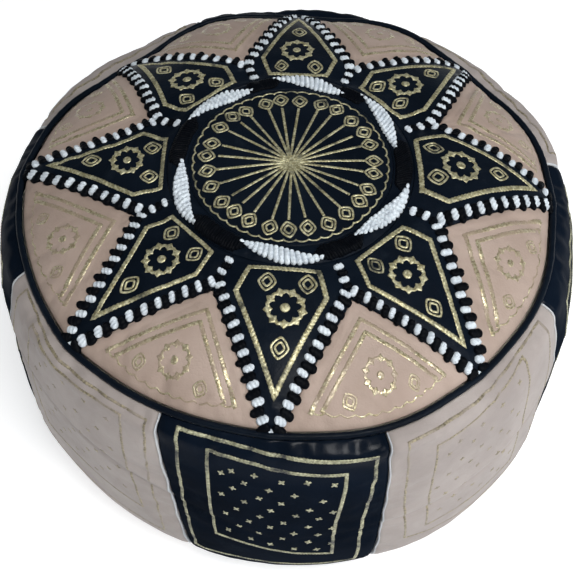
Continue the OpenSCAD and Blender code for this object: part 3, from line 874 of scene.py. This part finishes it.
def lump(length, width, height, strands, notch, slant=0.3, fat=0.0, rows=17, cols=11):
    """A stitch lying along +X: strands aslant one after another, rounded down into the leather all round."""
    u, v = np.meshgrid(np.linspace(-1, 1, rows), np.linspace(-1, 1, cols), indexing="ij")
    u, v = 0.5 * (u + np.sin(u * math.pi / 2)), np.sin(v * math.pi / 2)
    x = u * length / 2
    core = max(length - width, 0.25 * length) / 2
    beyond = np.clip((np.abs(x) - core) / (length / 2 - core), 0, 1)
    furrow = (0.5 + 0.5 * np.cos(2 * math.pi * (strands * (u + 1) / 2 + slant * v))) ** 2
    half = width / 2 * np.sqrt(1 - 0.985 * beyond**2) * (1 + fat * u) * (1 - 0.3 * notch * furrow)
    crown = np.sqrt(1 - 0.97 * beyond**2.4) * np.sqrt(1 - 0.97 * np.abs(v) ** 2.2) * (1 - notch * furrow)
    return np.stack([x, v * half, height * crown], -1)


def turned(points, deg, middle=(0, 0)):
    """Points turned about the plan's middle after a shift."""
    a = math.radians(deg)
    x, y = (np.asarray(points, float) + middle).T
    return np.stack([x * math.cos(a) - y * math.sin(a), x * math.sin(a) + y * math.cos(a)], -1)


def lay(lumps, surface, lift=0.0, sink=0.7):
    """Lays lumps on a surface, lift above it. Each is (shape, place, turn in degrees). Points and faces."""
    flats = [turned(shape[..., :2].reshape(-1, 2), turn) + place for shape, place, turn in lumps]
    tops = np.concatenate([shape[..., 2].ravel() for shape, place, turn in lumps]) + lift
    n = len(tops)
    x, y = np.concatenate(flats * 2).T
    points = surface(x, y, np.concatenate([tops, np.full(n, -sink)]))
    faces, first = [], 0
    for shape, place, turn in lumps:
        rows, cols = shape.shape[:2]
        top, right = np.arange(cols), np.arange(1, rows) * cols + cols - 1
        bottom, left = (rows - 1) * cols + np.arange(cols - 2, -1, -1), np.arange(rows - 2, 0, -1) * cols
        rim = np.concatenate([top, right, bottom, left]) + first
        after = np.roll(rim, -1)
        faces += [grid_faces(rows, cols, first), np.stack([after, rim, rim + n, after + n], -1),
                  grid_faces(rows, cols, first + n, flip=True)]
        first += rows * cols
    return points, np.concatenate(faces)


# ---- Stitches ----
EDGE_STITCHES = 20
EDGE_FIRST, EDGE_LAST = np.array([50.8, -133.6]), np.array([4.4, -243.0])
STITCH_LEN, STITCH_W, STITCH_H = 10.2, 6.0, 3.4
# The single small stitch at each petal's tip: its place, and its size beside the others
TIP_R = 245.5
TIP_SIZE = 0.62
NECK_FIRST, NECK_PITCH, NECK_STITCHES = 118.5, 6.2, 4
NECK_LEN, NECK_W, NECK_H = 9.4, 5.8, 2.8


def edge_places(parity):
    """Places and turns of the white (0) or black (1) stitches along every petal edge."""
    run = EDGE_LAST - EDGE_FIRST
    out = np.array([-run[1], run[0]]) / np.linalg.norm(run)
    across = math.degrees(math.atan2(out[1], out[0]))
    shift = 2.2 if parity else 0.0
    found = []
    for k in range(PETALS):
        for hand in (1, -1):
            for i in range(parity, EDGE_STITCHES, 2):
                p = EDGE_FIRST + run * i / (EDGE_STITCHES - 1) + out * (shift + stray(0.5))
                turn = k * STEP + hand * (across - 3) + stray(6)
                found.append((turned([[hand * p[0], p[1]]], k * STEP)[0], turn))
        if not parity:
            tip = turned([[stray(1), -TIP_R]], k * STEP)[0]
            found.append((tip, k * STEP + stray(15)))
    return found


def neck_places(parity):
    """Places and turns of the white (0) or black (1) stitches between neighbouring petals."""
    found = []
    for k in range(PETALS):
        a = (k + 0.5) * STEP
        for i in range(parity, NECK_STITCHES, 2):
            r = NECK_FIRST + i * NECK_PITCH + stray(0.8)
            place = np.array(plan(r, a + stray(0.4)))
            found.append((place, a + stray(9)))
    return found


def stitches(name, node, found, material, length, width, height, notch, fat=0.0):
    """One piece of stitches of nearly the same size, at the places and turns found."""
    lumps = []
    for place, turn in found:
        grow = RANDOM.uniform(0.92, 1.06) * (TIP_SIZE if np.hypot(*place) > TIP_R - 1.3 else 1.0)
        shape = lump(length * grow, width * RANDOM.uniform(0.94, 1.08), height * grow, 3, notch,
                     RANDOM.uniform(0.2, 0.45), fat)
        lumps.append((shape, place, turn))
    make(name, lay(lumps, seat, 0.8), material, node, turn_out=True)


CRESCENTS = [-2, 58.2, 125, 173.5, 225.5, 291.7]
CRESCENT_HALF = 20.5
WRAPS = 16
RING_MID = 102.0


def crescent_wraps():
    """White satin crescents: wraps across the ring, short at both ends, slanted from the inside outwards."""
    width = 2 * math.radians(CRESCENT_HALF) * RING_MID / WRAPS * 1.08
    lumps = []
    for middle in CRESCENTS:
        for i in range(WRAPS):
            t = (i + 0.5) / WRAPS
            a = middle - CRESCENT_HALF + 2 * CRESCENT_HALF * t
            full = math.sin(math.pi * t)
            length = 2.6 + 13.0 * full**1.1
            turn = a + 90 + stray(6)
            beads = max(1, int(round(length / 3.8)))
            shape = lump(length * RANDOM.uniform(0.95, 1.08), width, 2.6 + 1.2 * full, beads, 0.34, 0.12)
            lumps.append((shape, np.array(plan(RING_MID - 4.5 * math.cos(math.pi * t), a)), turn))
    shape = lay(lumps, seat, 0.4)
    make("white_crescent_stitches", shape, WHITE_THREAD, "white_crescents", turn_out=True)


def ring_wraps():
    """Black ridged bands between the crescents."""
    lumps = []
    for middle, after in zip(CRESCENTS, CRESCENTS[1:] + [CRESCENTS[0] + 360]):
        start, end = middle + CRESCENT_HALF - 4, after - CRESCENT_HALF + 4
        count = int((end - start) / 1.4)
        for j in range(count):
            t = (j + 0.5) / count
            a = start + (end - start) * t
            full = min(1.0, 0.25 + 4.5 * min(t, 1 - t))
            turn = a + 90 + stray(2)
            shape = lump(16 * full * RANDOM.uniform(0.94, 1.06), 3.9, 2.4 * (0.5 + 0.5 * full), 3, 0.12, 0.1)
            r = RING_MID + 2.6 * math.cos(math.pi * t) * (1 - full)
            lumps.append((shape, np.array(plan(r, a)), turn))
    shape = lay(lumps, seat, 0.3)
    make("black_ring_bands", shape, BLACK_THREAD, "black_ring_stitches", turn_out=True)


def all_stitches():
    for parity, colour, material in ((0, "white", WHITE_THREAD), (1, "black", BLACK_THREAD)):
        notch, slot = 0.2 if parity else 0.42, f"{colour}_thread"
        stitches(f"{colour}_edge_thread", f"{colour}_edge_stitches", edge_places(parity), material,
                 STITCH_LEN + 2.6 * parity, STITCH_W + 0.7 * parity, STITCH_H, notch, 0.14 * parity)
        stitches(f"{colour}_neck_thread", f"{colour}_neck_stitches", neck_places(parity), material,
                 NECK_LEN, NECK_W, NECK_H, notch)
    crescent_wraps()
    ring_wraps()


# ---- Gold ----
GOLD_RISE = 0.45
TAN_RISE = 0.28
# How far the motifs of each petal are off its middle
MOTIF_SHIFT = [4.5, -1, 1.5, 3, 0, 1, -2, 0.5]
# How far the point of each triangle's lines is off its middle
TRIANGLE_SHIFT = [0, 1, -2, 0, 1, 0, 1, 5]
SPOKES = 27


def gold(name, parts, material, node):
    make(name, join(parts), material, node, turn_out=True)


def polar(r, t):
    """Points at a radius and an angle in radians."""
    return np.stack([r * np.cos(t), r * np.sin(t)], -1)


def soft_diamond(half_x, half_y):
    """A diamond with rounded corners and slightly bowed sides."""
    t = np.arange(20) / 20 * 2 * math.pi
    x, y = (np.sign(wave) * np.abs(wave) ** 1.45 for wave in (np.cos(t), np.sin(t)))
    return np.stack([half_x * x, half_y * y], -1)


def double_diamond(at, deg, half_x, half_y, surface, tilt, rise):
    """Two diamond outlines, one inside the other."""
    parts = []
    for size in (1.0, 0.54):
        shape = turned(soft_diamond(half_x * size, half_y * size), tilt)
        parts.append(strip(turned(shape + at, deg), 0.95, rise, surface, True, rope=0.12, pitch=2.2))
    return parts


def rosette(at, deg, radius, surface, rise):
    """Nine small diamonds joined by arcs, round a dot."""
    parts = []
    count = 9
    for i in range(count):
        a = 360 / count * i
        lozenge = np.array([[0, 0.24], [0.24, 0.0], [0, -0.24], [-0.24, 0.0]]) * radius
        star = turned(along(lozenge, 1.2, True), a, (0, -0.8 * radius))
        parts.append(blob(turned(star + at, deg), rise, surface))
        bow = radius * (0.74 + 0.09 * np.sin(np.linspace(0, math.pi, 7)))
        arc = np.stack(plan(bow, np.linspace(a + 7, a + 360 / count - 7, 7)), -1)
        parts.append(strip(turned(arc + at, deg), 0.085 * radius, rise * 0.8, surface))
    dot = polar(0.23 * radius, np.radians(np.arange(0, 360, 30)))
    parts.append(blob(turned(dot + at, deg), rise, surface))
    return parts


def on_petal(x, y, h):
    """A place on a petal's leather, which lies a little above the triangles."""
    return seat(x, y, np.asarray(h) + PETAL_LIFT)


def on_medallion(x, y, h):
    return seat(x, y, np.asarray(h) + MEDALLION_LIFT)


def gold_on_medallion():
    parts = []
    for i in range(SPOKES):
        deg = 360 / SPOKES * (i + 0.25) + stray(1.6)
        inner, outer = RANDOM.uniform(1.5, 5), 66 + RANDOM.uniform(-2, 1.5)
        line = along(turned([[stray(1), -inner], [0, -outer]], deg), 0.9)
        parts.append(strip(line, 1.2, GOLD_RISE * 1.3, on_medallion, rope=0.85, pitch=2.8))
        at = np.array([0, -75.5 + stray(1.2)])
        parts += double_diamond(at, deg, 6.6, 7.6, on_medallion, stray(12), GOLD_RISE)
    hub = np.radians(np.arange(0, 360, 24))
    reach = 4.6 + 1.3 * np.cos(3 * hub) + 0.7 * np.cos(5 * hub)
    parts.append(blob(polar(reach, hub) + 1, GOLD_RISE * 1.5, on_medallion))
    sweep = np.arange(0, 360, 0.6)
    border = np.stack(plan(86.2 + 2.0 * np.abs(np.sin(np.radians(sweep) * 25)) ** 0.7, sweep), -1)
    parts.append(strip(border, 0.75, GOLD_RISE, on_medallion, True))
    gold("medallion_gold", parts, GOLD_ON_BLACK, "gold_medallion")


def gold_on_petals():
    outline = np.array([[-28, -116], [28, -116], [36.4, -140], [0, -222], [-36.4, -140]])
    parts = []
    for k in range(PETALS):
        deg = k * STEP
        line = along(turned(outline + stray(1.2, outline.shape), deg), 0.9, True)
        parts.append(strip(line, 2.1, GOLD_RISE * 1.5, on_petal, True, rope=0.85, pitch=3.2))
        at = np.array([MOTIF_SHIFT[k], -152]) + stray(1.5, 2)
        parts += rosette(at, deg, 17.5, on_petal, GOLD_RISE)
        for x, y in ((-16.5, -129), (16.5, -129), (-1.5, -186)):
            at = np.array([x + MOTIF_SHIFT[k], y]) + stray(1, 2)
            parts += double_diamond(at, deg, 6.9, 8.4, on_petal, stray(8), GOLD_RISE)
    gold("petal_gold", parts, GOLD_ON_BLACK, "gold_petals")


def gold_on_triangles():
    parts = []
    for k in range(PETALS):
        deg = (k + 0.5) * STEP
        for tip, end_r, end_a in ((-167.5, 233, 15.3), (-179, 232, 13.0)):
            right, left = np.array(plan(end_r, end_a)), np.array(plan(end_r, -end_a))
            line = along(turned([left, [TRIANGLE_SHIFT[k], tip], right], deg), 0.9)
            parts.append(strip(line, 1.95, TAN_RISE * 1.6, seat, rope=0.8, pitch=3.0))
        sweep = np.linspace(-15, 15, 110)
        scallops = 2.0 * np.abs(np.sin(np.linspace(0, 11 * math.pi, len(sweep))))
        bow = 230.5 + 5.5 * np.cos(np.radians(sweep) * 6) + scallops
        parts.append(strip(turned(np.stack(plan(bow, sweep), -1), deg), 0.7, TAN_RISE, seat))
        at = np.array([1.0, -213]) + stray(1.5, 2)
        parts += rosette(at, deg, 15.5, seat, TAN_RISE)
        for hand in (-1, 1):
            at = np.array(plan(226, hand * 7.4))
            parts += double_diamond(at, deg, 5.6, 6.0, seat, stray(15), TAN_RISE)
    gold("triangle_gold", parts, GOLD_ON_TAN, "gold_triangles")


def little_star(at, size, turn):
    """Outline of a small four-petalled star."""
    t = np.arange(20) / 20 * 2 * math.pi
    return polar(size * (0.72 + 0.28 * np.cos(4 * t + turn)), t) + at


# Corners of the outer and the inner gold frame of a side panel, clockwise from the top left: how far across
# from the panel's middle, and how far below the rim. The panels that differ follow, by number.
FRAMES = ([[-91, 9], [95, 12], [93, 226], [-93, 222]], [[-60, 23], [64, 26], [62, 180], [-62, 176]])
FRAMES_APART = {
    0: ([[-90, 7], [96, 19], [86, 225], [-100, 215]], [[-61, 21], [68, 36], [60, 190], [-65, 166]]),
    1: ([[-92, 14], [87, 6], [76, 205], [-81, 195]], [[-63, 33], [50, 13], [42, 168], [-62, 178]]),
    2: ([[-74, 30], [90, 26], [90, 224], [-76, 222]], [[-46, 44], [60, 40], [60, 180], [-48, 178]]),
    4: ([[-92, 24], [94, 22], [93, 226], [-93, 222]], [[-61, 38], [63, 36], [62, 180], [-62, 178]]),
    6: ([[-90, 28], [72, 32], [74, 222], [-92, 224]], [[-60, 42], [44, 46], [46, 178], [-62, 180]]),
    7: ([[-88, 5], [96, 11], [84, 212], [-88, 200]], [[-48, 13], [72, 19], [70, 172], [-50, 160]]),
}
STAR_ROWS, STAR_COLUMNS = 12, 8
STAR_ACROSS, STAR_DOWN, STAR_SLOPE = 23.5, 17.5, 0.2
# The first row's distance below the inner frame, and the least distance that a star keeps from it
STAR_FIRST, STAR_CLEAR = 13, 7


def star_field(corners, middle, size, rise):
    """Small stars in staggered rows inside a frame's corners."""
    parts = []
    left_top, right_top, right_low, left_low = np.array(corners, float)
    for row in range(STAR_ROWS):
        for column in range(STAR_COLUMNS):
            across = (column - 3.5 + 0.5 * (row % 2)) * STAR_ACROSS + stray(1.8)
            share = (across - left_top[0]) / (right_top[0] - left_top[0])
            top = left_top[1] + share * (right_top[1] - left_top[1])
            low = left_low[1] + share * (right_low[1] - left_low[1])
            down = top + STAR_FIRST + row * STAR_DOWN + STAR_SLOPE * across * (row > 0)
            down += stray(1.8)
            if 0.05 < share < 0.95 and top + STAR_CLEAR < down < low - STAR_CLEAR:
                star = little_star(np.array([middle + across, down]), size, RANDOM.uniform(0, 6))
                parts.append(blob(star, rise, side))
    return parts


def gold_on_sides():
    for k in range(PETALS):
        parts = []
        middle = k * STEP * (math.radians(1) * BODY_R)
        if k % 2 == 0:
            # the darker gold here is painted shade for the upright sides
            rise, half, size, material = GOLD_RISE, 1.75, 3.9, SHADED_GOLD_ON_BLACK_SIDE
        else:
            # the darker gold here is painted shade for the upright sides
            rise, half, size, material = TAN_RISE, 1.15, 3.0, SHADED_GOLD_ON_TAN_SIDE
        frames = FRAMES_APART.get(k, FRAMES)
        for corners in frames:
            line = along(np.array(corners) + stray(1.5, (4, 2)), 1.1, True)
            line[:, 0] += 1.5 * np.sin(line[:, 1] / 27 + k)
            line[:, 1] += 1.2 * np.sin(line[:, 0] / 23 + 2 * k)
            line[:, 0] += middle
            parts.append(strip(line, half, rise * 1.5, side, True, rope=0.85, pitch=3.2))
        parts += star_field(frames[1], middle, size, rise)
        gold(f"side_gold_{k + 1}", parts, material, "gold_side_frames")


# ---- Base, stuffing and lining ----
# Half the length and half the width of the slot for the zip
SLOT_X, SLOT_Y = box_mm("zip_stops")[1][0] + 1, 6.5
# The radius from which the base falls towards its piping, and how far it falls
BASE_FLAT_R, BASE_FALL = 165, 5
base_wave = Ripple(31, 7, (2, 12), (0.02, 0.05))


def base_leather():
    """The two halves of the base, hemmed along the zip, and the zip's seam."""
    r = 2 + edge_steps(BASE_EDGE_R - 2, 4.5)
    deg = np.radians(edge_steps(180, 2.2, (0, 0.15, 0.4, 0.8, 1.4, 2.2)))
    x = r[:, None] * np.cos(deg)
    y = np.maximum(r[:, None] * np.sin(deg), 0.2)
    slot = SLOT_Y * np.clip((SLOT_X + 3 - np.abs(x)) / 3, 0, 1)
    y = slot + y * (1 - slot / (BASE_R + 10)) + 0.2
    radius = np.hypot(x, y)
    z = BASE_LIFT - BASE_FALL * np.clip((radius - BASE_FLAT_R) / (BASE_EDGE_R - BASE_FLAT_R), 0, 1)
    hem = 0.9 * bell(np.maximum(y - slot, 0), 2.5)
    for name, hand in (("base_panel_front", -1), ("base_panel_back", 1)):
        waves = 0.5 * base_wave(np.degrees(np.arctan2(y, x)) * hand, radius) * np.clip((y - slot) / 12, 0, 1)
        bottom = np.stack([x, hand * y, z + waves + hem - 0.2], -1)
        top = np.stack([x, hand * y, z + LEATHER_T + 0.6], -1)
        make(f"{name}_leather", shell(bottom, top), BLACK, name, turn_out=True)
    stitch = lump(3.0, 0.9, 0.5, 1, 0.0, rows=8, cols=6)
    places = [(x, hand * (SLOT_Y + 3.2)) for hand in (-1, 1) for x in np.arange(-SLOT_X, SLOT_X, 4.2)]
    seam = lay([(stitch, place, 0) for place in places], under, sink=0.2)
    make("zip_seam_thread", seam, WHITE_THREAD, turn_out=True)


def under(x, y, h):
    """A place on the underside, h below the base's leather."""
    return np.stack([x, y, BASE_LIFT - 0.15 - np.asarray(h)], -1)


def dress_cad():
    """Zip parts keep their CAD shapes and get their materials."""
    looks = {"zip_tape_front": ZIP_TAPE, "zip_tape_back": ZIP_TAPE, "zip_end_patches": TAN}
    for node in ("zip_teeth_front", "zip_teeth_back", "zip_stops", "zip_slider", "zip_pull_tab"):
        looks[node] = BRASS
    for piece in bpy.data.objects:
        node = piece.get("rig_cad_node")
        if node in looks:
            piece.data.materials.clear()
            piece.data.materials.append(looks[node])


def revolve(radii, heights, wave, depth):
    """Points and faces of a closed lumpy form about the middle."""
    deg = np.arange(0, 360, 3.0)
    rings = [around(r * (1 + depth * wave(deg, z) / max(r, 30)), deg, z) for r, z in zip(radii, heights)]
    n = len(deg)
    last = (len(rings) - 1) * n
    faces = grid_faces(len(rings), n, close_cols=True).tolist()
    faces += [range(n), range(last + n - 1, last - 1, -1)]
    return np.concatenate(rings), faces


def stuffing():
    """The cotton lining and the stuffing inside it, hidden by the leather."""
    wave = Ripple(41, 7, (3, 11), (0.01, 0.04))
    for name, node, slot, inset, depth in (("lining_bag", "inner_lining", "cotton_lining", 6, 0.6),
                                           ("cotton_stuffing", "filling", "cotton_stuffing", 13, 2.0)):
        r_top = np.linspace(1, RIM_R - 18, 14)
        z_top = seat_height(r_top) - inset - 2 - 12 * (r_top / RIM_R) ** 1.5
        down = np.linspace(26, SIDE_LEN - 34, 22)
        r_side = np.interp(down, side_down, side_r) - inset - 6
        z_side = np.interp(down, side_down, side_z)
        radii = np.concatenate([r_top, r_side, [BASE_R - 25, 60, 1]])
        heights = np.concatenate([z_top, z_side, [BASE_LIFT + 14] * 3])
        piece = make(name, revolve(radii, heights, wave, depth), COTTON, node, turn_out=True)


# ---- Camera, light and floor ----
CAMERA_DISTANCE, CAMERA_LENS = 1.3, 79.75
FLOOR_REACH = 60.0
WHITE = (1, 1, 1, 1)


def camera():
    az, el, roll = math.radians(3.59), math.radians(54.9), math.radians(0.706)
    target = Vector((-0.0015, 0, HEIGHT * MM - 0.197))
    back = Vector((math.sin(az) * math.cos(el), -math.cos(az) * math.cos(el), math.sin(el)))
    holder = add("camera", bpy.data.cameras.new("camera"))
    holder.data.lens = CAMERA_LENS
    holder.location = target + back * CAMERA_DISTANCE
    holder.rotation_euler = back.to_track_quat("Z", "Y").to_euler()
    holder.rotation_euler.rotate_axis("Z", roll)
    bpy.context.scene.camera = holder


def lamp(name, place, size, watts, colour):
    """A square lamp that looks at the pouf's middle."""
    light = bpy.data.lights.new(name, "AREA")
    light.size, light.energy, light.color = size, watts, colour
    holder = add(name, light)
    holder.location = place
    holder.rotation_euler = (Vector(place) - Vector((0, 0, 0.2))).to_track_quat("Z", "Y").to_euler()


def room():
    """A white backdrop. Rays that leave glossy or matt surfaces meet a dimmer room, brighter towards +X."""
    world = bpy.data.worlds.new("studio")
    world.use_nodes = True
    nodes = Nodes(world.node_tree)
    path = nodes.node("ShaderNodeLightPath").outputs
    nodes.tree.nodes["Background"].inputs[0].default_value = WHITE
    backdrop = nodes.tree.nodes["Background"].outputs[0]
    direction = nodes.node("ShaderNodeTexCoord").outputs["Generated"]
    to_right = nodes.node("ShaderNodeSeparateXYZ", Vector=direction).outputs["X"]
    for ray, colour, left, right in (("Is Glossy Ray", (0.6, 0.8, 1.0, 1), 0.10, 0.10),
                                     ("Is Diffuse Ray", (0.86, 0.92, 1.0, 1), 0.08, 0.50)):
        strength = nodes.span(to_right, -1, 1, left, right)
        walls = nodes.node("ShaderNodeBackground", Color=colour, Strength=strength)
        choose = nodes.node("ShaderNodeMixShader", Fac=path[ray])
        nodes.join(backdrop, choose.inputs[1])
        nodes.join(walls.outputs[0], choose.inputs[2])
        backdrop = choose.outputs[0]
    nodes.join(backdrop, nodes.tree.nodes["World Output"].inputs[0])
    bpy.context.scene.world = world


def floor():
    corners = [(x * FLOOR_REACH, y * FLOOR_REACH, 0) for x, y in ((-1, -1), (1, -1), (1, 1), (-1, 1))]
    mesh = bpy.data.meshes.new("floor")
    mesh.from_pydata(corners, [], [range(4)])
    look = Look("pale_floor", Specular_IOR_Level=0.1, Emission_Color=WHITE, Emission_Strength=0.66)
    look.colour(look.mix(look.noise(3, 3), (0.60, 0.61, 0.62), (0.64, 0.64, 0.64)))
    look.rough(0.9)
    mesh.materials.append(look.material)
    add("floor", mesh)


bpy.context.scene.view_settings.view_transform = "Standard"
camera()
lamp("key", (0.35, -0.80, 1.85), 0.5, 22, (1.0, 0.99, 0.97))
lamp("fill_right", (1.8, -1.2, 1.3), 1.2, 20, (0.97, 0.98, 1.0))
lamp("fill_left", (-1.9, -0.8, 1.4), 1.2, 0.8, (0.85, 0.93, 1.0))
room()
floor()
swell_cover()
seat_leather()
side_leather()
piping()
seam_edges()
all_stitches()
gold_on_medallion()
gold_on_petals()
gold_on_triangles()
gold_on_sides()
base_leather()
stuffing()
dress_cad()
